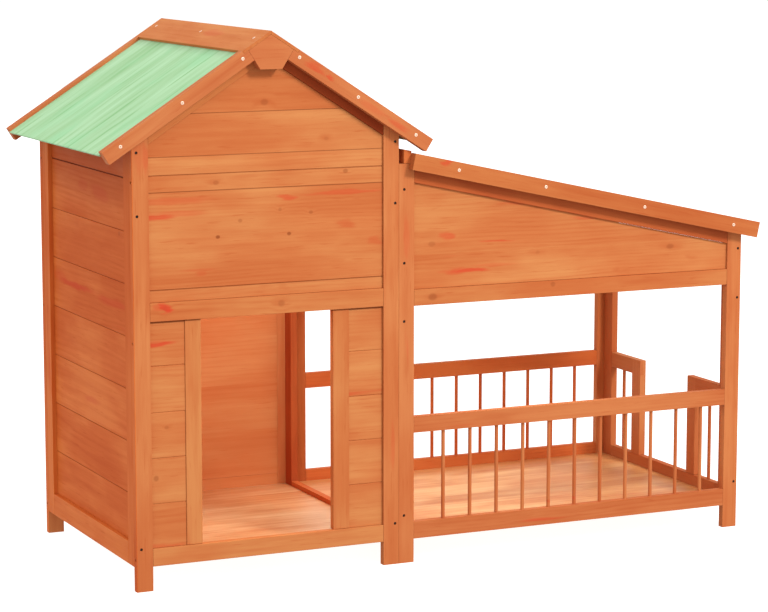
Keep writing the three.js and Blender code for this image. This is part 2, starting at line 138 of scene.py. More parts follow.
# ------------------------------------------------------------- the wood group
# In: grain coordinates in metres (x along the grain, y across the face, z into
# the board), a tone per board, the masks of knots, resin streaks and smears
# (which also carry wide bands of painted shade) and of dark lines (joints, and
# the painted shadow under the door header).
# Out: colour, height for a bump, roughness.
def wood_group():
    g = bpy.data.node_groups.new("softwood", "ShaderNodeTree")
    face = g.interface
    for name, kind, default in (
        ("Vector", "NodeSocketVector", None), ("Tone", "NodeSocketFloat", 0.0), ("Bend", "NodeSocketFloat", 0.0),
        ("Knot", "NodeSocketFloat", 0.0), ("Resin", "NodeSocketFloat", 0.0), ("Smear_and_shade", "NodeSocketFloat", 0.0),
        ("Line", "NodeSocketFloat", 0.0), ("Knots", "NodeSocketFloat", 1.0),
        ("Light", "NodeSocketColor", rgb(199, 127, 74)), ("Mid", "NodeSocketColor", rgb(195, 112, 63)),
        ("Dark", "NodeSocketColor", rgb(180, 92, 48)), ("Red", "NodeSocketColor", rgb(196, 62, 38)),
    ):
        s = face.new_socket(name=name, in_out="INPUT", socket_type=kind)
        if default is not None:
            s.default_value = default
    face.new_socket(name="Color", in_out="OUTPUT", socket_type="NodeSocketColor")
    face.new_socket(name="Height", in_out="OUTPUT", socket_type="NodeSocketFloat")
    face.new_socket(name="Roughness", in_out="OUTPUT", socket_type="NodeSocketFloat")
    T = Tree(g)
    i = T.node("NodeGroupInput").outputs
    out = T.node("NodeGroupOutput").inputs
    P = i["Vector"]
    # slow wander of the log's heart under the face, which makes the arches
    slow = T.node("ShaderNodeTexNoise", noise_dimensions="3D")
    T.put(slow.inputs["Vector"], T.vmath("MULTIPLY", P, (1.1, 5.0, 5.0)))
    slow.inputs["Scale"].default_value, slow.inputs["Detail"].default_value = 1.0, 2.0
    wander = T.vmath("MULTIPLY", T.vmath("SUBTRACT", slow.outputs["Color"], (0.5, 0.5, 0.5)), (0.0, 0.05, 0.05))
    bent = T.vmath("ADD", P, wander)
    fine = T.noise(T.vmath("MULTIPLY", P, (7.0, 110.0, 110.0)), 1.0, 3.0, 0.6)
    ring = T.node("ShaderNodeTexWave", wave_type="RINGS", rings_direction="X", wave_profile="SIN")
    T.put(ring.inputs["Vector"], bent)
    ring.inputs["Scale"].default_value = 38.0
    ring.inputs["Distortion"].default_value = 0.0
    T.put(ring.inputs["Phase Offset"], T.math("ADD", T.math("MULTIPLY", fine, 5.5), T.math("MULTIPLY", i["Bend"], 4.0)))
    late = T.math("POWER", ring.outputs["Fac"], 2.2)
    # broad and narrow streaks along the grain, short dashes and the fibres
    broad = T.noise(T.vmath("MULTIPLY", P, (1.5, 19.0, 19.0)), 1.0, 3.0, 0.55)
    narrow = T.noise(T.vmath("MULTIPLY", P, (3.4, 88.0, 88.0)), 1.0, 4.0, 0.62)
    dashes = T.ramp(T.noise(T.vmath("MULTIPLY", P, (17.0, 260.0, 260.0)), 1.0, 2.0, 0.55), 0.60, 0.76, 0.0, 0.42)
    fibre = T.noise(T.vmath("MULTIPLY", P, (30.0, 900.0, 900.0)), 1.0, 2.0, 0.6)
    patch = T.noise(T.vmath("MULTIPLY", P, (3.2, 8.5, 8.5)), 1.0, 3.0, 0.55)
    patchy = T.ramp(patch, 0.34, 0.66, -0.5, 0.5)
    # where the rings show, and where the face is nearly plain
    show = T.ramp(T.noise(T.vmath("MULTIPLY", P, (2.1, 13.0, 13.0)), 1.0, 1.0), 0.40, 0.66, 0.12, 1.0)
    fac = T.math("MULTIPLY", T.math("MULTIPLY", T.math("SUBTRACT", late, 0.3), show), 0.26)
    fac = T.math("ADD", fac, T.math("MULTIPLY", T.math("SUBTRACT", broad, 0.5), 1.0))
    fac = T.math("ADD", fac, T.math("MULTIPLY", T.math("SUBTRACT", narrow, 0.5), 0.95))
    fac = T.math("ADD", fac, T.math("MULTIPLY", T.math("SUBTRACT", fibre, 0.5), 0.25))
    fac = T.math("ADD", fac, dashes)
    fac = T.math("ADD", fac, T.math("MULTIPLY", patchy, 0.38))
    fac = T.math("ADD", fac, T.math("MULTIPLY", i["Tone"], 0.5))
    fac = T.math("ADD", fac, 0.40, clamp=True)
    base = T.mix(fac, i["Light"], i["Dark"])
    hue = T.math("ADD", T.math("MULTIPLY", patchy, 0.8), T.math("MULTIPLY", i["Tone"], 0.35))
    base = T.mix(T.math("ADD", hue, 0.42, clamp=True), base, T.mix(fac, i["Mid"], i["Dark"]))
    # resin: a few long red streaks, besides the stated ones; one wide stated red band is painted shade under the left
    # eave
    seam = T.noise(T.vmath("MULTIPLY", P, (3.1, 42.0, 42.0)), 1.0, 2.0, 0.5)
    chance = T.ramp(seam, 0.69, 0.80, 0.0, 0.5)
    frayed = T.ramp(narrow, 0.30, 0.55, 0.6, 1.0)
    torn = T.ramp(narrow, 0.30, 0.50, 0.8, 1.0)
    base = T.mix(T.math("MAXIMUM", chance, T.math("MULTIPLY", i["Resin"], torn)), base, i["Red"])
    # smears: dark streaks, and the wide bands of painted shade under the left eave and at the back of the floors
    base = T.mix(T.math("MULTIPLY", T.math("MULTIPLY", i["Smear_and_shade"], frayed), 0.72), base, i["Dark"])
    # small knots in some cells
    cell = T.node("ShaderNodeTexVoronoi", voronoi_dimensions="3D", feature="F1")
    T.put(cell.inputs["Vector"], T.vmath("MULTIPLY", bent, (3.2, 8.0, 8.0)))
    cell.inputs["Scale"].default_value = 1.0
    pick = T.math("MULTIPLY", T.ramp(T.split(cell.outputs["Color"])[0], 0.70, 0.72), i["Knots"])
    size = T.math("ADD", T.math("MULTIPLY", T.split(cell.outputs["Color"])[1], 0.045), 0.035)
    near = T.math("DIVIDE", cell.outputs["Distance"], size)
    spot = T.math("MULTIPLY", T.ramp(near, 1.35, 0.75), pick)
    halo = T.math("MULTIPLY", T.ramp(near, 3.2, 0.9), pick)
    # the stated knots include one wide band, painted shade under the left eave
    knot = T.math("MAXIMUM", i["Knot"], T.math("MULTIPLY", spot, 0.75))
    base = T.mix(T.math("MULTIPLY", halo, 0.35), base, i["Dark"])
    core = T.mix(0.7, i["Dark"], rgb(98, 38, 14))
    base = T.mix(T.math("MULTIPLY", knot, 0.85), base, core)
    # dark lines: the joints, and the painted shadow under the door header
    base = T.mix(i["Line"], base, rgb(112, 44, 17))
    T.put(out["Color"], base)
    height = T.math("ADD", T.math("MULTIPLY", late, 0.35), T.math("ADD", T.math("MULTIPLY", fibre, 0.4), T.math("MULTIPLY", narrow, 0.5)))
    T.put(out["Height"], T.math("SUBTRACT", height, T.math("MULTIPLY", knot, 0.25)))
    rough = T.math("ADD", T.math("MULTIPLY", fac, 0.16), 0.52)
    T.put(out["Roughness"], T.math("SUBTRACT", rough, T.math("MULTIPLY", T.math("MAXIMUM", knot, i["Resin"]), 0.08)))
    return g


WOOD = wood_group()

# One stain in copies by place. The darker, redder copies paint shade: side on the left wall, inner on the cabin's right
# wall and passage, the run's ledger and rear railing and the roof battens, deep under the gable's right barges,
# deep_run under the run's barges and on the cabin's rear right stile, post_dim on the run's rear left post. The paler
# copies paint light: back on the back wall, floor and floor_house on the floors, where the paleness is partly painted
# sheen.
PALETTES = {
    "front": (rgb(199, 129, 76), rgb(196, 114, 65), rgb(181, 94, 50)),
    "trim": (rgb(196, 124, 72), rgb(193, 110, 61), rgb(178, 90, 47)),
    "post": (rgb(198, 122, 72), rgb(195, 113, 64), rgb(180, 93, 50)),
    "post_run": (rgb(195, 117, 69), rgb(192, 108, 61), rgb(177, 88, 46)),
    "side": (rgb(211, 112, 51), rgb(207, 101, 42), rgb(186, 81, 32)),
    "inner": (rgb(201, 110, 58), rgb(197, 98, 48), rgb(179, 79, 38)),
    "deep": (rgb(162, 72, 34), rgb(153, 63, 29), rgb(130, 47, 20)),
    "post_dim": (rgb(186, 102, 54), rgb(182, 92, 47), rgb(165, 75, 36)),
    "deep_run": (rgb(184, 94, 49), rgb(176, 82, 42), rgb(152, 64, 32)),
    "barge": (rgb(195, 121, 73), rgb(191, 111, 66), rgb(177, 92, 52)),
    "barge_run": (rgb(190, 113, 63), rgb(186, 104, 57), rgb(172, 86, 44)),
    "cap": (rgb(202, 127, 71), rgb(197, 116, 64), rgb(183, 96, 50)),
    "floor": (rgb(230, 174, 112), rgb(215, 147, 84), rgb(190, 106, 54)),
    "floor_house": (rgb(228, 187, 138), rgb(218, 165, 112), rgb(184, 102, 52)),
    "back": (rgb(205, 135, 83), rgb(202, 125, 74), rgb(194, 109, 62)),
    "rail": (rgb(194, 117, 69), rgb(190, 105, 60), rgb(174, 87, 46)),
}
AXES = {
    "x": ((1, 0, 0), (0, 0, 1), (0, 1, 0)),
    "y": ((0, 1, 0), (0, 0, 1), (1, 0, 0)),
    "z": ((0, 0, 1), (1, 0, 0), (0, 1, 0)),
    "x_flat": ((1, 0, 0), (0, 1, 0), (0, 0, 1)),
    "y_flat": ((0, 1, 0), (1, 0, 0), (0, 0, 1)),
    "z_side": ((0, 0, 1), (0, 1, 0), (1, 0, 0)),
    "gable_l": ((math.cos(gA), 0, math.sin(gA)), (-math.sin(gA), 0, math.cos(gA)), (0, 1, 0)),
    "gable_r": ((math.cos(gA), 0, -math.sin(gA)), (math.sin(gA), 0, math.cos(gA)), (0, 1, 0)),
    "run": ((math.cos(rA), 0, -math.sin(rA)), (math.sin(rA), 0, math.cos(rA)), (0, 1, 0)),
    "cap_l": ((0, 1, 0), (math.cos(gA), 0, math.sin(gA)), (-math.sin(gA), 0, math.cos(gA))),
    "cap_r": ((0, 1, 0), (math.cos(gA), 0, -math.sin(gA)), (math.sin(gA), 0, math.cos(gA))),
}


def grain_vector(T, P, axis):
    a, b, c = AXES[axis]
    return T.xyz(T.vmath("DOT_PRODUCT", P, a), T.vmath("DOT_PRODUCT", P, b), T.vmath("DOT_PRODUCT", P, c))


def above(T, P, axis_vec, value, width=0.0002):
    """1 where P along axis_vec is past value (metres)."""
    return T.math("GREATER_THAN", T.vmath("DOT_PRODUCT", P, axis_vec), value)


def board_number(T, P, direction, joints):
    total = None
    for j in joints:
        s = above(T, P, direction, j)
        total = s if total is None else T.math("ADD", total, s)
    return total


def principled(mat):
    nt = mat.node_tree
    for n in list(nt.nodes):
        nt.nodes.remove(n)
    out = nt.nodes.new("ShaderNodeOutputMaterial")
    p = nt.nodes.new("ShaderNodeBsdfPrincipled")
    nt.links.new(p.outputs["BSDF"], out.inputs["Surface"])
    return Tree(nt), p


def feature_masks(T, G, features, axis):
    """Knots, streaks and wide bands of painted shade at stated places, as smooth ellipses on the face."""
    masks = {"knot": None, "resin": None, "smear_and_shade": None, "bend": None}
    a, b, c = (Vector(v) for v in AXES[axis])
    ragged = None
    if features:
        n = T.node("ShaderNodeTexNoise", noise_dimensions="3D")
        T.put(n.inputs["Vector"], T.vmath("MULTIPLY", G, (16.0, 70.0, 70.0)))
        n.inputs["Scale"].default_value, n.inputs["Detail"].default_value = 1.0, 3.0
        ragged = T.vmath("MULTIPLY", T.vmath("SUBTRACT", n.outputs["Color"], (0.5, 0.5, 0.5)), (0.06, 0.016, 0.0))
        ragged = T.vmath("ADD", G, ragged)
    for kind, p, ra, rb, strength in features:
        at = M(*p)
        d = T.vmath("SUBTRACT", G if kind == "knot" else ragged, (at.dot(a), at.dot(b), at.dot(c)))
        d = T.vmath("MULTIPLY", d, (1000 / ra, 1000 / rb, 0.0))
        length = T.vmath("LENGTH", d)
        if kind == "knot":
            m = T.ramp(length, 1.25, 0.55, 0.0, strength)
            bend = T.ramp(length, 4.0, 0.4)
            masks["bend"] = bend if masks["bend"] is None else T.math("MAXIMUM", masks["bend"], bend)
        else:
            m = T.ramp(length, 1.15, 0.4 if kind == "resin" else 0.1, 0.0, strength)
        masks[kind] = m if masks[kind] is None else T.math("MAXIMUM", masks[kind], m)
    return masks


def line_mask(T, P, direction, lines, outer):
    """Dark lines at the stated places (mm): stain gathered in the joints, and painted shadow under the door header."""
    at = T.vmath("DOT_PRODUCT", P, direction)
    mask = None
    for value, half, strength in lines:
        d = T.math("ABSOLUTE", T.math("SUBTRACT", at, value))
        m = T.ramp(d, half * 1.5, half * 0.6, 0.0, strength)
        mask = m if mask is None else T.math("MAXIMUM", mask, m)
    if outer:  # only on the outer face
        mask = T.math("MULTIPLY", mask, above(T, P, outer[0], outer[1]))
    return mask


def wood(name, axis, palette="front", seed=0, joints=None, direction=(0, 0, 1), features=(), tone=0.0, spread=0.3,
         second=None, rough=0.0, bump=0.35, lines=None, outer=None, spec=0.03, knots=1.0, face=None):
    """A board, or several beside each other. second = (axis, mask maker): where
    the mask is 1 the grain runs along that axis instead."""
    mat = bpy.data.materials.new("wood_" + name)
    mat.use_nodes = True
    T, p = principled(mat)
    P = T.node("ShaderNodeTexCoord").outputs["Object"]
    G = grain_vector(T, P, axis)
    masks = feature_masks(T, G, features, axis)
    vec = G
    mask = None
    if second:
        mask = second[1](T, P)
        vec = T.mixv(mask, G, grain_vector(T, P, second[0]))
    number = board_number(T, P, direction, joints) if joints else None
    if mask is not None:
        number = mask if number is None else T.math("ADD", number, T.math("MULTIPLY", mask, 17.0))
    rng = random.Random(name)
    white = T.node("ShaderNodeTexWhiteNoise", noise_dimensions="1D")
    w0 = seed + rng.uniform(0, 900)
    if number is None:
        white.inputs["W"].default_value = w0
    else:
        T.put(white.inputs["W"], T.math("MULTIPLY_ADD", number, 1.37, w0))
    shift = T.vmath("ADD", T.vmath("MULTIPLY", white.outputs["Color"], (9.0, 0.06, 0.05)), (0.0, -0.03, 0.03))
    centre = Vector(AXES[axis][1]), Vector(AXES[axis][2])
    o = nodes.get(name)
    if o is not None:  # the rings start from the middle of the board itself
        lo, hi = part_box(name)
        mid = (lo + hi) / 2
        if not joints:
            shift = T.vmath("SUBTRACT", shift, (0.0, mid.dot(centre[0]), mid.dot(centre[1])))
    vec = T.vmath("ADD", vec, shift)
    g = T.node("ShaderNodeGroup")
    g.node_tree = WOOD
    T.put(g.inputs["Vector"], vec)
    T.put(g.inputs["Tone"], T.math("MULTIPLY_ADD", T.math("SUBTRACT", T.split(white.outputs["Color"])[1], 0.5), 2 * spread, tone))
    for key, sock in (("knot", "Knot"), ("resin", "Resin"), ("smear_and_shade", "Smear_and_shade"), ("bend", "Bend")):
        if masks[key] is not None:
            T.put(g.inputs[sock], masks[key])
    if lines:
        T.put(g.inputs["Line"], line_mask(T, P, direction, lines, outer))
    for k, sock in enumerate(("Light", "Mid", "Dark")):
        g.inputs[sock].default_value = PALETTES[palette][k]
        if face:  # one face of the timber in another tone: (direction, palette); the house's left posts take the side copy on their left faces, painted shade
            lo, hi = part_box(name)
            out = Vector(face[0])
            reach = max(lo.dot(out), hi.dot(out)) - 0.0012
            on = T.ramp(T.vmath("DOT_PRODUCT", P, face[0]), reach - 0.0006, reach + 0.0006)
            T.put(g.inputs[sock], T.mix(on, PALETTES[palette][k], PALETTES[face[1]][k]))
    # the shaded copies take a deeper red for the resin as well
    if palette in ("side", "inner"):
        g.inputs["Red"].default_value = rgb(192, 54, 16)
    g.inputs["Knots"].default_value = knots
    T.put(p.inputs["Base Color"], g.outputs["Color"])
    T.put(p.inputs["Roughness"], T.math("ADD", g.outputs["Roughness"], rough))
    p.inputs["Specular IOR Level"].default_value = spec
    b = T.node("ShaderNodeBump")
    b.inputs["Strength"].default_value = bump
    b.inputs["Distance"].default_value = 0.0004
    T.put(b.inputs["Height"], g.outputs["Height"])
    T.put(p.inputs["Normal"], b.outputs["Normal"])
    return mat


# --------------------------------------------------------- the green roof coat
def roof_material(name, side):
    """A thin board panel under a pale green coat that shows the grain running
    down the slope; its battens below are bare wood."""
    mat = bpy.data.materials.new("coat_" + name)
    mat.use_nodes = True
    T, p = principled(mat)
    P = T.node("ShaderNodeTexCoord").outputs["Object"]
    a, b, c = (Vector(v) for v in AXES[side])
    top = M(RUN_TOP_X, 0, RUN_TOP_Z) if side == "run" else M(RIDGE_X, 0, RIDGE_Z)
    depth = T.math("SUBTRACT", top.dot(b), T.vmath("DOT_PRODUCT", P, tuple(b)))  # below the top line
    along = T.vmath("DOT_PRODUCT", P, tuple(a))
    across = T.vmath("DOT_PRODUCT", P, (0, 1, 0))
    rng = random.Random(name)
    G = T.vmath("ADD", T.xyz(along, across, T.math("MULTIPLY", depth, 0.3)), (rng.uniform(0, 9), rng.uniform(0, 9), 0))
    wide = T.noise(T.vmath("MULTIPLY", G, (1.6, 15.0, 15.0)), 1.0, 3.0, 0.55)
    fine = T.noise(T.vmath("MULTIPLY", G, (3.6, 46.0, 46.0)), 1.0, 4.0, 0.6, 0.2)
    thread = T.noise(T.vmath("MULTIPLY", G, (16.0, 380.0, 380.0)), 1.0, 2.0, 0.6)
    cloud = T.noise(T.vmath("MULTIPLY", G, (5.0, 9.0, 9.0)), 1.0, 3.0, 0.5)
    fac = T.math("ADD", T.math("MULTIPLY", T.math("SUBTRACT", wide, 0.5), 1.7), T.math("MULTIPLY", T.math("SUBTRACT", fine, 0.5), 1.35))
    fac = T.math("ADD", fac, T.math("MULTIPLY", T.math("SUBTRACT", thread, 0.5), 0.25))
    fac = T.math("ADD", fac, 0.42, clamp=True)
    green = T.mix(fac, rgb(169, 208, 164), rgb(131, 178, 119))
    green = T.mix(T.ramp(cloud, 0.48, 0.70, 0.0, 0.7), green, rgb(141, 198, 145))
    green = T.mix(T.ramp(fine, 0.57, 0.72, 0.0, 0.7), green, rgb(112, 170, 104))
    under = T.math("GREATER_THAN", depth, 0.00975)
    # painted shade: darker green on the sheet's edges and underside, from 6.8 mm below the top line down
    edge = T.ramp(depth, 0.0068, 0.0082, 0.0, 0.35)
    green = T.mix(edge, green, rgb(96, 146, 90))
    g = T.node("ShaderNodeGroup")
    g.node_tree = WOOD
    batten = grain_vector(T, P, "y_flat")
    T.put(g.inputs["Vector"], T.vmath("ADD", batten, (rng.uniform(0, 9), 0, 0)))
    # the battens take the inner copy of the stain: painted shade under the roof
    for sock, col in zip(("Light", "Mid", "Dark"), PALETTES["inner"]):
        g.inputs[sock].default_value = col
    is_batten = T.math("GREATER_THAN", depth, 0.0100)
    T.put(p.inputs["Base Color"], T.mix(is_batten, green, g.outputs["Color"]))
    rough = T.math("MULTIPLY_ADD", fine, 0.18, 0.52)
    T.put(p.inputs["Roughness"], rough)
    p.inputs["Specular IOR Level"].default_value = 0.3
    bump = T.node("ShaderNodeBump")
    bump.inputs["Strength"].default_value = 0.5
    bump.inputs["Distance"].default_value = 0.0005
    T.put(bump.inputs["Height"], T.math("ADD", T.math("MULTIPLY", fine, 0.7), T.math("MULTIPLY", thread, 0.3)))
    T.put(p.inputs["Normal"], bump.outputs["Normal"])
    return mat


# ------------------------------------------------ knots and streaks, by timber
# (kind, place in the build frame, radius along and across the grain, strength)
# The wide smears under the left eave and at the back of the floors are painted
# shade, tuned: they stay when the light moves.
FEATURES = {
    "front_board_lower": [
        ("knot", (185, 5, 722), 5, 4, 0.9), ("knot", (342, 5, 721), 5, 4, 0.8), ("knot", (234, 5, 753), 5, 4, 0.4),
        ("knot", (391, 5, 763), 5, 4, 0.45), ("knot", (322, 5, 772), 4, 4, 0.35),
        ("smear_and_shade", (469, 5, 736), 30, 13, 0.9), ("resin", (469, 5, 736), 22, 9, 0.4), ("smear_and_shade", (539, 5, 696), 22, 14, 0.5),
        ("resin", (539, 5, 696), 18, 12, 0.3), ("smear_and_shade", (143, 5, 650), 20, 10, 0.5), ("resin", (143, 5, 650), 16, 7, 0.3),
        ("resin", (341, 5, 796), 26, 6, 0.55), ("resin", (48, 5, 769), 62, 7, 0.75), ("resin", (80, 5, 773), 90, 8, 0.35), ("resin", (90, 5, 800), 100, 10, 0.3),
        ("resin", (470, 5, 801), 110, 5, 0.42), ("smear_and_shade", (321, 5, 663), 55, 8, 0.7), ("smear_and_shade", (230, 5, 668), 40, 9, 0.35),
        ("smear_and_shade", (453, 5, 661), 20, 6, 0.6), ("smear_and_shade", (326, 5, 612), 12, 8, 0.6),
    ],
    "front_board_middle": [
        ("smear_and_shade", (182, 5, 835), 26, 8, 0.9), ("knot", (182, 5, 833), 7, 5, 0.35), ("smear_and_shade", (243, 5, 842), 36, 8, 0.5),
        ("smear_and_shade", (345, 5, 845), 40, 9, 0.6), ("knot", (469, 5, 845), 6, 5, 0.5), ("smear_and_shade", (345, 5, 869), 60, 6, 0.3),
    ],
    "front_board_upper": [("smear_and_shade", (426, 5, 916), 26, 12, 0.8), ("knot", (426, 5, 914), 6, 4, 0.2), ("smear_and_shade", (200, 5, 955), 120, 14, 0.3)],
    "front_board_top": [("knot", (289, 5, 993), 9, 7, 0.4), ("smear_and_shade", (289, 5, 993), 24, 12, 0.8)],
    "door_header": [
        ("resin", (67, 0, 583), 15, 13, 1.0), ("knot", (67, 0, 583), 6, 6, 0.12), ("resin", (60, 0, 585), 24, 8, 0.45), ("knot", (322, 0, 578), 8, 7, 0.35),
        ("smear_and_shade", (322, 0, 580), 20, 12, 0.7),
    ],
    "front_panel_left": [
        ("resin", (48, 6, 510), 52, 6, 0.8), ("resin", (42, 6, 511), 30, 9, 0.4), ("smear_and_shade", (70, 6, 337), 16, 6, 0.7),
        ("knot", (70, 6, 337), 5, 4, 0.3), ("knot", (46, 6, 233), 6, 6, 0.5), ("resin", (60, 6, 92), 60, 5, 0.3),
    ],
    "run_fascia_board": [
        ("resin", (752, 5, 621), 60, 6, 0.75), ("resin", (728, 5, 621), 30, 9, 0.5), ("resin", (815, 5, 630), 60, 5, 0.25),
        ("resin", (706, 5, 698), 18, 11, 0.5), ("smear_and_shade", (670, 5, 700), 40, 12, 0.5), ("knot", (668, 5, 682), 9, 6, 0.3),
        ("smear_and_shade", (690, 5, 681), 45, 7, 0.7), ("resin", (822, 5, 680), 50, 2.5, 0.55), ("smear_and_shade", (921, 5, 651), 30, 8, 0.6),
        ("knot", (921, 5, 651), 6, 4, 0.2), ("knot", (1250, 5, 646), 10, 6, 0.45), ("smear_and_shade", (1250, 5, 646), 42, 14, 0.9),
        ("smear_and_shade", (1307, 5, 620), 16, 10, 0.7), ("smear_and_shade", (1116, 5, 601), 14, 10, 0.6), ("smear_and_shade", (1116, 5, 640), 60, 8, 0.4),
        ("resin", (1050, 5, 720), 60, 5, 0.35), ("resin", (870, 5, 760), 50, 4, 0.4),
    ],
    "run_fascia_rail": [
        ("knot", (668, 0, 570), 11, 8, 0.5), ("smear_and_shade", (675, 0, 571), 30, 10, 0.7), ("knot", (956, 0, 580), 6, 6, 0.4),
        ("smear_and_shade", (1179, 0, 574), 60, 9, 0.9),
    ],
    "run_barge_front": [("resin", (693, -20, 856), 14, 10, 0.6), ("smear_and_shade", (1040, -20, 770), 70, 6, 0.35)],
    "left_boarding": [
        # The wide smears, the wide resin band and the wide knot band at the top are painted shade under the eave.
        ("smear_and_shade", (9, 300, 885), 520, 85, 1.0), ("resin", (9, 300, 890), 520, 80, 0.2), ("knot", (9, 330, 860), 620, 80, 0.16), ("smear_and_shade", (9, 300, 800), 520, 80, 0.7), ("smear_and_shade", (9, 300, 700), 520, 110, 0.25),
        ("resin", (9, 400, 583), 130, 9, 0.7), ("resin", (9, 500, 590), 60, 14, 0.35), ("resin", (9, 150, 578), 110, 11, 0.5), ("resin", (9, 230, 800), 60, 18, 0.5), ("resin", (9, 330, 805), 40, 12, 0.4),
        ("smear_and_shade", (9, 107, 722), 34, 16, 0.7), ("knot", (9, 107, 727), 6, 5, 0.3), ("smear_and_shade", (9, 381, 716), 30, 10, 0.6),
        ("resin", (9, 216, 790), 60, 12, 0.4), ("smear_and_shade", (9, 260, 640), 60, 10, 0.4), ("smear_and_shade", (9, 150, 690), 12, 30, 0.3),
        ("resin", (9, 300, 350), 60, 8, 0.3), ("smear_and_shade", (9, 200, 250), 50, 12, 0.5), ("smear_and_shade", (9, 420, 460), 40, 12, 0.4),
    ],
    "house_post_front_left": [("resin", (30, 0, 890), 34, 12, 0.35), ("resin", (16, 0, 894), 40, 18, 0.2), ("smear_and_shade", (20, 0, 300), 40, 8, 0.4)],
    # painted shade towards the back of both floors
    "house_floor": [("smear_and_shade", (294, 640, 63.5), 620, 330, 1.0)],
    "run_floor": [("smear_and_shade", (1000, 620, 63.5), 520, 240, 0.6), ("smear_and_shade", (1330, 420, 63.5), 120, 200, 0.4)],
    "left_stile_rear": [("smear_and_shade", (0, 565, 502), 14, 9, 0.7)],
    "run_railing_front": [("resin", (979, 0, 100), 60, 6, 0.45), ("smear_and_shade", (820, 0, 300), 60, 8, 0.5), ("smear_and_shade", (700, 0, 80), 50, 8, 0.4)],
    "gable_barge_front_right": [("resin", (392, -20, 1062), 30, 9, 0.5), ("resin", (425, -20, 1040), 12, 6, 0.6), ("resin", (520, -20, 975), 46, 10, 0.3), ("resin", (578, -20, 937), 30, 9, 0.45)],
    "gable_barge_front_left": [("smear_and_shade", (120, -20, 1010), 60, 9, 0.3)],
    "ridge_cap_left": [("resin", (270, 240, 1123), 60, 14, 0.3), ("smear_and_shade", (268, 120, 1123), 70, 10, 0.4)],
    "run_post_front_left": [("smear_and_shade", (607, 0, 420), 40, 8, 0.5), ("resin", (607, 0, 700), 60, 8, 0.25)],
    "house_post_front_right": [("smear_and_shade", (570, 0, 610), 40, 9, 0.4), ("resin", (575, 0, 250), 60, 7, 0.25)],
}

zz = (0, 0, 1)


def mm_z(*vals):
    return [v / 1000 for v in vals]


def L(*rows):
    return [(z / 1000, half / 1000, strength) for z, half, strength in rows]


# The line at 556.5 is painted shadow under the proud door header, over the door panels and stiles; the others are
# joints.
DOOR_JOINTS_AND_HEADER_SHADOW = L(*[(z, 1.0, 0.08) for z in (180, 274.5, 369, 465)], (556.5, 3.2, 0.75))
HEADER_SHADOW_LINE = L((556.5, 2.6, 0.6))
WALL_LINES = L(*[(z, 1.1, 0.35) for z in (194.8, 303, 411.4, 519.7, 627.6, 735.3, 952.5, 1060.7)], (844.3, 1.6, 0.8))
WALL = mm_z(194.8, 303, 411.4, 519.7, 627.6, 735.3, 844.3, 952.5, 1060.7)


def dowels(T, P):  # 1 between the rails, where the dowels stand
    return T.math("MULTIPLY", above(T, P, zz, 0.088), T.math("SUBTRACT", 1.0, above(T, P, zz, 0.281)))


def end_upright(y0, y1):
    lo, hi = sorted(((y0 - Y0) / 1000, (y1 - Y0) / 1000))

    def make(T, P):
        stile = T.math("MULTIPLY", above(T, P, (0, 1, 0), lo), T.math("SUBTRACT", 1.0, above(T, P, (0, 1, 0), hi)))
        return T.math("MAXIMUM", stile, T.math("SUBTRACT", 1.0, above(T, P, zz, 0.281)))
    return make


def strips(x0, x1, n):
    return [(x0 + (x1 - x0) * k / n - Y0) / 1000 for k in range(1, n)]


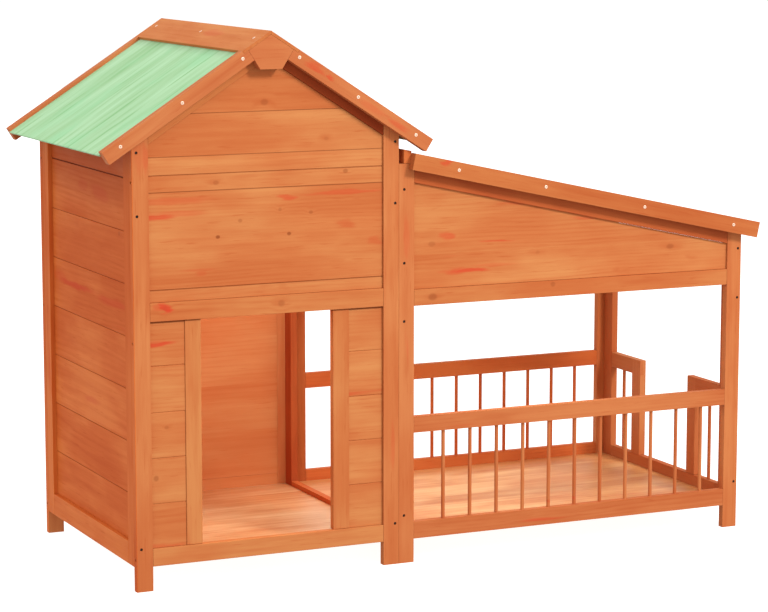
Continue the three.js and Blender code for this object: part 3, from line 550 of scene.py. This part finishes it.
# The palettes given below paint light and shade as said at PALETTES.
SPEC = {
    "front_bottom_rail": dict(axis="x", palette="trim"),
    "door_header": dict(axis="x", palette="trim"),
    "door_stile_left": dict(axis="z", palette="trim", tone=-0.08, spread=0.05, lines=HEADER_SHADOW_LINE),
    "door_stile_right": dict(axis="z", palette="trim", tone=-0.08, spread=0.05, lines=HEADER_SHADOW_LINE),
    "front_panel_left": dict(axis="x", palette="front", joints=mm_z(180, 274.5, 369, 465), spread=0.08, knots=0.6, lines=DOOR_JOINTS_AND_HEADER_SHADOW),
    "front_panel_right": dict(axis="x", palette="front", joints=mm_z(180, 274.5, 369, 465), spread=0.08, seed=5, knots=0.6, lines=DOOR_JOINTS_AND_HEADER_SHADOW),
    "front_board_lower": dict(axis="x", palette="front", joints=mm_z(620), spread=0.08, lines=L((595.2, 1.0, 0.2), (620, 1.3, 0.45), (817.9, 1.2, 0.4))),
    "front_board_middle": dict(axis="x", palette="front", joints=mm_z(852), spread=0.15, lines=L((818, 1.2, 0.35), (852, 1.3, 0.35), (889, 1.2, 0.25))),
    "front_board_upper": dict(axis="x", palette="front", lines=L((889, 1.2, 0.25), (975, 1.2, 0.3))),
    "front_board_top": dict(axis="x", palette="front", lines=L((975, 1.2, 0.3))),
    "left_stile_front": dict(axis="z_side", palette="side"),
    "left_stile_rear": dict(axis="z_side", palette="side"),
    "left_bottom_rail": dict(axis="y", palette="side"),
    "left_boarding": dict(axis="y", palette="side", joints=WALL, spread=0.22, lines=WALL_LINES, outer=((-1, 0, 0), (X0 - 12.5) / 1000)),
    "rear_bottom_rail": dict(axis="x", palette="back", tone=-0.1),
    "rear_boarding": dict(axis="x", palette="back", knots=0.0, joints=WALL, spread=0.02, lines=WALL_LINES, outer=((0, 1, 0), (592 - Y0) / 1000)),
    "right_stile_front": dict(axis="z_side", palette="inner"),
    "right_stile_rear": dict(axis="z_side", palette="deep_run", knots=0.0),
    "passage_sill": dict(axis="y", palette="inner"),
    "passage_header": dict(axis="y", palette="inner"),
    "right_boarding": dict(axis="y", palette="inner", joints=WALL, spread=0.2),
    "house_floor": dict(axis="x_flat", palette="floor_house", joints=strips(16, 584, 6), direction=(0, 1, 0), spread=0.12, bump=0.2, spec=0.35, rough=-0.12, knots=0.0),
    "run_floor": dict(axis="x_flat", palette="floor", joints=strips(16, 584, 6), direction=(0, 1, 0), spread=0.12, bump=0.2, seed=3, spec=0.3, rough=-0.12, knots=0.0),
    "run_ledger": dict(axis="y", palette="inner", tone=-0.3),
    "run_railing_front": dict(axis="x", palette="rail", second=("z", dowels)),
    "run_railing_rear": dict(axis="x", palette="inner", tone=-0.3, second=("z", dowels)),
    "run_fascia_rail": dict(axis="x", palette="trim"),
    "run_fascia_board": dict(axis="x", palette="front", joints=mm_z(660), spread=0.06, lines=L((587.7, 1.2, 0.3))),
    "run_raking_rail": dict(axis="run", palette="deep_run", knots=0.0),
    "run_fascia_rear": dict(axis="x", palette="front", joints=mm_z(587.5), spread=0.1),
    "run_end_stile_front": dict(axis="z_side", palette="rail"),
    "run_end_stile_rear": dict(axis="z_side", palette="rail"),
    "run_end_bottom_rail": dict(axis="y", palette="rail"),
    "run_end_railing_front": dict(axis="y", palette="rail", second=("z_side", end_upright(158, 193.5))),
    "run_end_railing_rear": dict(axis="y", palette="rail", second=("z_side", end_upright(409, 447))),
    "ridge_cap_left": dict(axis="cap_l", palette="cap", spread=0.04, face=((0, -1, 0), "barge_run")),
    "ridge_cap_right": dict(axis="cap_r", palette="cap", spread=0.04, face=((0, -1, 0), "barge_run")),
    "apex_block_front": dict(axis="x", palette="barge", spread=0.04),
    "apex_block_rear": dict(axis="x", palette="barge", spread=0.04),
    "run_barge_front": dict(axis="run", palette="barge_run", spread=0.04),
    "run_barge_rear": dict(axis="run", palette="barge_run", spread=0.04),
}
for end in ("front", "rear"):
    SPEC[f"house_post_{end}_left"] = dict(axis="z", palette="post")
    SPEC[f"house_post_{end}_right"] = dict(axis="z", palette="post")
    SPEC[f"run_post_{end}_left"] = dict(axis="z", palette="post_run")
    SPEC[f"run_post_{end}_right"] = dict(axis="z", palette="post")
    SPEC[f"raking_rail_{end}_left"] = dict(axis="gable_l", palette="barge_run", tone=-0.4, knots=0.0)
    SPEC[f"raking_rail_{end}_right"] = dict(axis="gable_r", palette="deep", knots=0.0)
    SPEC[f"gable_barge_{end}_left"] = dict(axis="gable_l", palette="barge", spread=0.04)
    SPEC[f"gable_barge_{end}_right"] = dict(axis="gable_r", palette="barge", spread=0.04)

# Painted light and shade: the left faces of the house's left posts take the side copy, the rear right post the paler
# back copy, the run's rear left post the darker post_dim copy.
for end in ("front", "rear"):
    SPEC[f"house_post_{end}_left"]["face"] = ((-1, 0, 0), "side")
SPEC["house_post_rear_right"]["palette"] = "back"
SPEC["run_post_rear_left"]["palette"] = "post_dim"
for k, (name, spec) in enumerate(sorted(SPEC.items())):
    o = nodes[name]
    o.data.materials.clear()
    o.data.materials.append(wood(name, features=FEATURES.get(name, ()), **spec))
for name, side in (("gable_roof_panel_left", "gable_l"), ("gable_roof_panel_right", "gable_r"), ("run_roof_panel", "run")):
    o = nodes[name]
    o.data.materials.clear()
    o.data.materials.append(roof_material(name, side))

# -------------------------------------------------- eased edges on every timber
for name, o in nodes.items():
    me = o.data
    for extra in ("custom_normal", "sharp_edge", "sharp_face"):
        if extra in me.attributes:
            me.attributes.remove(me.attributes[extra])
    for f in me.polygons:
        f.use_smooth = True
    weld = o.modifiers.new("weld", "WELD")
    weld.merge_threshold = 0.00002
    flat = o.modifiers.new("flat", "DECIMATE")
    flat.decimate_type = "DISSOLVE"
    flat.angle_limit = math.radians(1.0)
    flat.delimit = set()
    edge = o.modifiers.new("edge", "BEVEL")
    edge.limit_method = "ANGLE"
    edge.angle_limit = math.radians(31)
    thin = name.startswith(("gable_roof", "run_roof"))
    boards = "board" in name or "panel" in name
    top = "barge" in name or name.startswith(("apex", "ridge"))
    edge.width = 0.0002 if top else 0.0004 if thin or boards else 0.0009
    edge.segments = 2
    edge.use_clamp_overlap = True
    edge.harden_normals = True


# ------------------------------------------------------------------ screws
def screw_mesh(bm, centre, normal, radius, dome, recess, turn):
    """A screw head with a cross recess: a lathe-like dome whose slots are
    pressed into it, closed underneath."""
    n = Vector(normal).normalized()
    ref = Vector((0, 0, 1)) if abs(n.z) < 0.9 else Vector((1, 0, 0))
    u = (ref - n * ref.dot(n)).normalized()
    v = n.cross(u)
    seg, rings = 24, (0.0, 0.16, 0.24, 0.4, 0.52, 0.62, 0.82, 0.95, 1.0)
    slot, reach = 0.13, 0.56
    rows = []
    for j, r in enumerate(rings):
        row = []
        for i in range(1 if j == 0 else seg):
            a = 2 * math.pi * i / seg
            x, y = r * math.cos(a), r * math.sin(a)
            h = dome * math.sqrt(max(0.0, 1 - 0.9 * r * r))
            inside = (min(abs(x), abs(y)) < slot + 0.02) and r < reach
            if r <= 0.2 or inside:
                h -= recess * (1 - 0.5 * r / reach)
            ca, sa = math.cos(turn), math.sin(turn)
            px, py = x * ca - y * sa, x * sa + y * ca
            row.append(bm.verts.new(Vector(centre) + (u * px + v * py) * radius + n * h))
        rows.append(row)
    base = [bm.verts.new(Vector(centre) + (u * math.cos(2 * math.pi * i / seg + turn) + v * math.sin(2 * math.pi * i / seg + turn)) * radius * 0.86 - n * 0.0012) for i in range(seg)]
    for i in range(seg):
        k = (i + 1) % seg
        bm.faces.new((rows[0][0], rows[1][i], rows[1][k]))
        for j in range(1, len(rings) - 1):
            bm.faces.new((rows[j][i], rows[j + 1][i], rows[j + 1][k], rows[j][k]))
        bm.faces.new((rows[-1][i], base[i], base[k], rows[-1][k]))
    bm.faces.new(list(reversed(base)))


def metal(name, colour, rough, tint):
    mat = bpy.data.materials.new(name)
    mat.use_nodes = True
    T, p = principled(mat)
    P = T.node("ShaderNodeTexCoord").outputs["Object"]
    grain = T.noise(P, 1400.0, 3.0, 0.6)
    blotch = T.noise(P, 260.0, 2.0, 0.5)
    T.put(p.inputs["Base Color"], T.mix(T.ramp(blotch, 0.35, 0.7), colour, tint))
    T.put(p.inputs["Roughness"], T.math("MULTIPLY_ADD", grain, 0.2, rough))
    p.inputs["Metallic"].default_value = 0.35
    b = T.node("ShaderNodeBump")
    b.inputs["Strength"].default_value = 0.25
    b.inputs["Distance"].default_value = 0.0001
    T.put(b.inputs["Height"], grain)
    T.put(p.inputs["Normal"], b.outputs["Normal"])
    return mat


ZINC = metal("zinc_plated", rgb(236, 208, 186), 0.42, rgb(216, 184, 160))
BLACK = metal("dark_steel", rgb(48, 26, 18), 0.5, rgb(30, 18, 14))


def screws(name, places, normal, radius, dome, recess, mat):
    me = bpy.data.meshes.new(name)
    bm = bmesh.new()
    rng = random.Random(name)
    for p in places:
        screw_mesh(bm, M(*p), normal, radius, dome, recess, rng.uniform(0, 1.5))
    bmesh.ops.recalc_face_normals(bm, faces=bm.faces)
    bm.to_mesh(me)
    bm.free()
    me.materials.append(mat)
    for f in me.polygons:
        f.use_smooth = True
    me.set_sharp_from_angle(angle=math.radians(40))
    o = bpy.data.objects.new(name, me)
    scene.collection.objects.link(o)
    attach(o, "root")
    return o


G_SCREWS = [(-29.7, 916.1), (101.8, 998.8), (232.6, 1083.5)]
R_SCREWS = [(719.4, 838.4), (926.3, 794.0), (1169.9, 739.2), (1397.1, 689.2)]
for end, y, ny in (("front", -20.4, -1), ("rear", 620.4, 1)):
    screws(f"screws_gable_{end}_left", [(x, y, z) for x, z in G_SCREWS], (0, ny, 0), 0.0036, 0.0010, 0.0012, ZINC)
    screws(f"screws_gable_{end}_right", [(589 - x, y, z) for x, z in G_SCREWS], (0, ny, 0), 0.0036, 0.0010, 0.0012, ZINC)
    screws(f"screws_run_{end}", [(x, y, z) for x, z in R_SCREWS], (0, ny, 0), 0.0036, 0.0010, 0.0012, ZINC)
nl, nr = (-math.sin(gA), 0, math.cos(gA)), (math.sin(gA), 0, math.cos(gA))
cap = [(270.0, y, RIDGE_Z - G_TAN * 24.5) for y in (12, 313, 586)]
screws("screws_cap_left", cap, nl, 0.0034, 0.0009, 0.0011, ZINC)
screws("screws_cap_right", [(589 - x, y, z) for x, y, z in cap], nr, 0.0034, 0.0009, 0.0011, ZINC)
HOLES = [(10.1, 900.5), (10.1, 772.3), (10.1, 89.1), (580.7, 902.1), (580.7, 773.3), (580.7, 88.7),
         (601.7, 801), (601.7, 645.3), (601.7, 521.5), (601.7, 103.6), (1422.4, 632.7), (1422.4, 522.4), (1422.4, 103.3)]
screws("screws_post_front", [(x, 2.2, z) for x, z in HOLES], (0, -1, 0), 0.0029, 0.0007, 0.0010, BLACK)
screws("screws_post_rear", [(x, 597.8, z) for x, z in HOLES], (0, 1, 0), 0.0029, 0.0007, 0.0010, BLACK)
screws("screws_post_side", [(2.2, y, z) for y in (8, 592) for z in (840, 514, 66)], (-1, 0, 0), 0.0029, 0.0007, 0.0010, BLACK)

# ---------------------------------------------------------------- the studio
floor_mesh = bpy.data.meshes.new("studio_floor")
s = 14.0
floor_mesh.from_pydata([(-s, -s, 0), (s, -s, 0), (s, s, 0), (-s, s, 0)], [], [(0, 1, 2, 3)])
floor = bpy.data.objects.new("studio_floor", floor_mesh)
scene.collection.objects.link(floor)
fm = bpy.data.materials.new("studio_white")
fm.use_nodes = True
T, p = principled(fm)
p.inputs["Base Color"].default_value = (0.4, 0.4, 0.4, 1)
p.inputs["Emission Color"].default_value = (1, 1, 1, 1)
p.inputs["Emission Strength"].default_value = 0.92
p.inputs["Roughness"].default_value = 1.0
p.inputs["Specular IOR Level"].default_value = 0.0
floor_mesh.materials.append(fm)
floor.visible_diffuse = False  # its bounce is part of the world light

world = bpy.data.worlds.new("studio")
scene.world = world
world.use_nodes = True
bg = world.node_tree.nodes["Background"]
bg.inputs["Color"].default_value = (1, 1, 1, 1)
W = Tree(world.node_tree)
up = W.split(W.node("ShaderNodeTexCoord").outputs["Generated"])[2]
light = W.ramp(up, -0.22, -0.12, 0.66, 1.06, smooth=False)
light = W.math("ADD", light, W.ramp(up, 0.05, 0.8, 0.0, 0.2))
W.put(bg.inputs["Strength"], light)


def area(name, at, to, size, power, colour=(1, 1, 1)):
    d = bpy.data.lights.new(name, "AREA")
    d.shape = "RECTANGLE"
    d.size, d.size_y = size
    d.energy = power
    d.color = colour
    o = bpy.data.objects.new(name, d)
    o.location = at
    o.rotation_euler = (Vector(to) - Vector(at)).to_track_quat("-Z", "Y").to_euler()
    o.visible_camera = False
    scene.collection.objects.link(o)
    return o


area("key", (2.1, -4.65, 4.2), (0, 0, 0.5), (1.1, 1.1), 248)
area("cabin", M(294.5, 60, 800), M(294.5, 560, 330), (0.40, 0.16), 3.9)
area("run", M(850, 190, 650), M(900, 130, 60), (0.3, 0.2), 1.7)

# ---------------------------------------------------------------- the camera
PSI, PITCH, UNIT = math.radians(24.793), math.radians(8.532), 1430.0
cam_data = bpy.data.cameras.new("camera")
cam_data.sensor_fit = "HORIZONTAL"
cam_data.sensor_width = 36.0
cam_data.lens = 36.0 * 2717.0 / 768
cam_data.clip_start, cam_data.clip_end = 0.1, 60
cam = bpy.data.objects.new("camera", cam_data)
cam.location = M(-1.2639 * UNIT, -3.576 * UNIT, 0.9809 * UNIT)
look = Vector((math.sin(PSI) * math.cos(PITCH), math.cos(PSI) * math.cos(PITCH), -math.sin(PITCH)))
cam.rotation_euler = look.to_track_quat("-Z", "Y").to_euler()
scene.collection.objects.link(cam)
scene.camera = cam

scene.view_settings.view_transform = "Standard"
scene.view_settings.look = "None"
